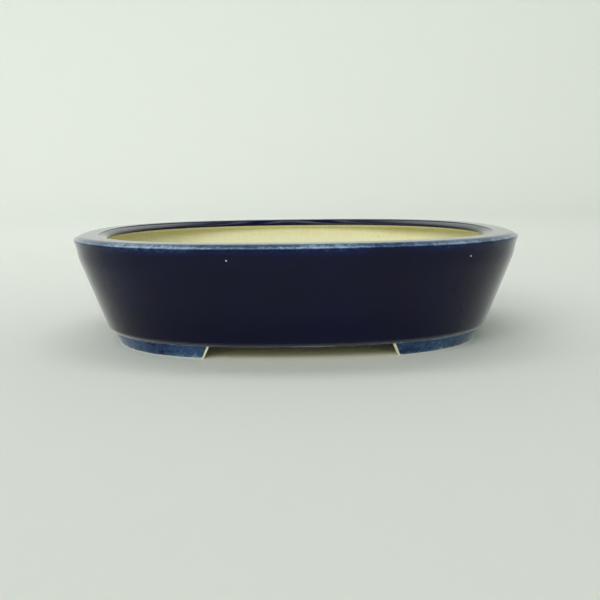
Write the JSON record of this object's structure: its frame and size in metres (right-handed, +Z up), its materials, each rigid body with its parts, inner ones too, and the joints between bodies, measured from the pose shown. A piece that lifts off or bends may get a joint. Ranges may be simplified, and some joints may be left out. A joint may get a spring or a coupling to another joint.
{
  "type": "bonsai pot",
  "caption": "Shallow oval glazed stoneware bonsai pot with flared wall, inward lip, drain holes and low cut feet.",
  "frame": {"origin": "middle of the pot on the plane that its feet stand on", "axes": "+Z up, +X along the long way of the oval, -Y towards the front"},
  "size_m": [0.24, 0.192, 0.0575],
  "materials": {
    "blue_glaze": "glossy dark cobalt glaze that breaks pale blue on sharp edges",
    "bare_clay": "matt unglazed cream stoneware"
  },
  "bodies": {
    "root": {"wall": "blue_glaze", "rim_lip": "blue_glaze", "floor_slab": "bare_clay", "corner_coil": "bare_clay", "foot_front_left": "blue_glaze", "foot_front_right": "blue_glaze", "foot_back_left": "blue_glaze", "foot_back_right": "blue_glaze"}
  },
  "joints": []
}
